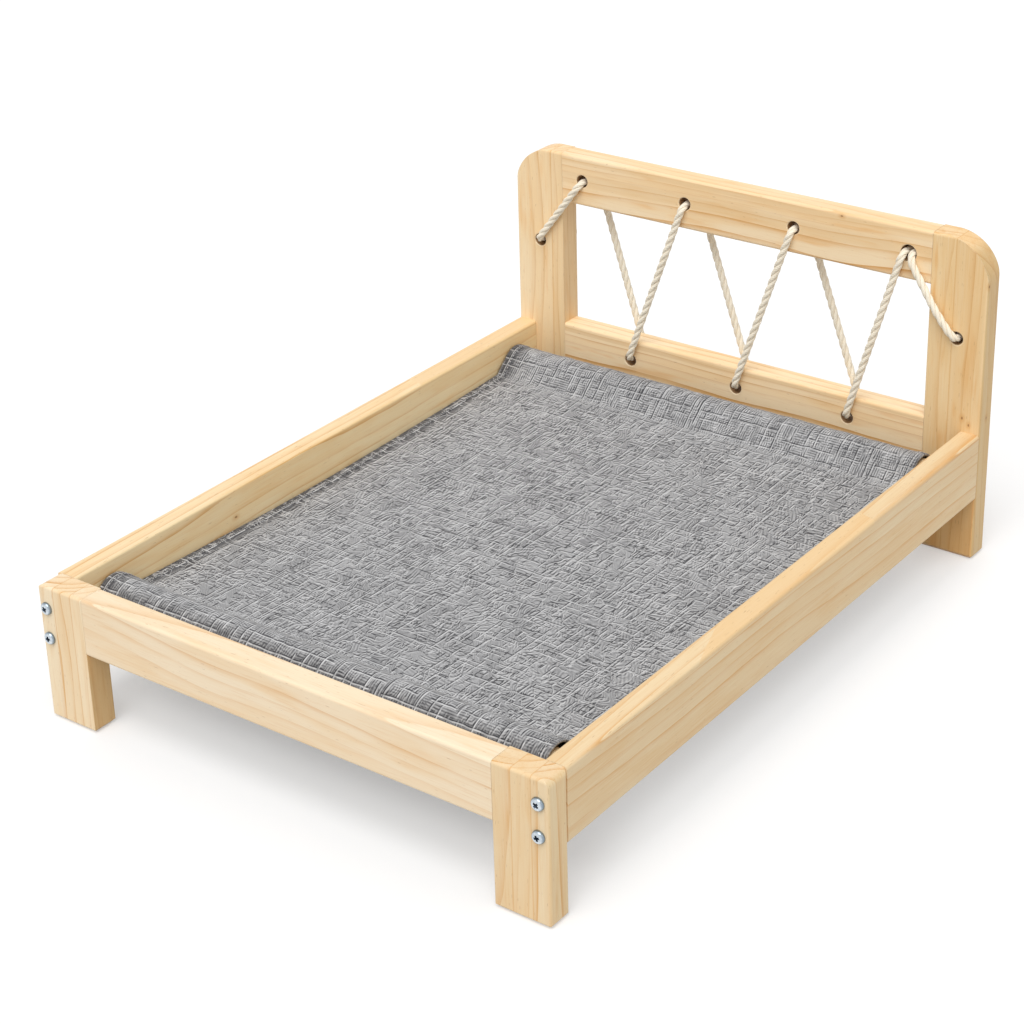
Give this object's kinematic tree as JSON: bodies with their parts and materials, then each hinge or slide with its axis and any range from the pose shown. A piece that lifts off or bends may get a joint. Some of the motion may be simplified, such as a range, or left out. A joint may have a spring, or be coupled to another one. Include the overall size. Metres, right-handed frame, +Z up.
{
  "type": "rope bed",
  "caption": "Low pine pet bed: cloth hangs between two round rods in a rail frame, and a rope is laced across the open headboard.",
  "frame": {"origin": "centre of the footprint on the floor, under the middle of the bed", "axes": "+X to the right seen from the foot end, +Y from the foot towards the headboard, +Z up"},
  "size_m": [0.46, 0.6479, 0.28],
  "materials": {
    "pine": "satin clear finish",
    "rod_wood": "sanded, unfinished",
    "cloth": "slubbed upholstery weave",
    "rope": "three-strand twisted cotton",
    "screw_steel": "bright zinc plate",
    "pin_wood": "plain turned dowel"
  },
  "bodies": {
    "root": {"front_left_leg": "pine", "front_right_leg": "pine", "front_rail": "pine", "left_side_rail": "pine", "right_side_rail": "pine", "left_head_post": "pine", "right_head_post": "pine", "head_top_rail": "pine", "head_lower_rail": "pine", "front_rod": "rod_wood", "rear_rod": "rod_wood", "hammock_cloth": "cloth", "lacing_rope": "rope", "rope_turns": "rope", "rope_tail": "rope", "left_rope_knot": "rope", "right_rope_knot": "rope", "front_left_screws": "screw_steel", "front_right_screws": "screw_steel", "rear_left_screws": "screw_steel", "rear_right_screws": "screw_steel", "front_rail_pins": "pin_wood", "head_top_rail_pins": "pin_wood", "head_lower_rail_pins": "pin_wood"}
  },
  "joints": []
}
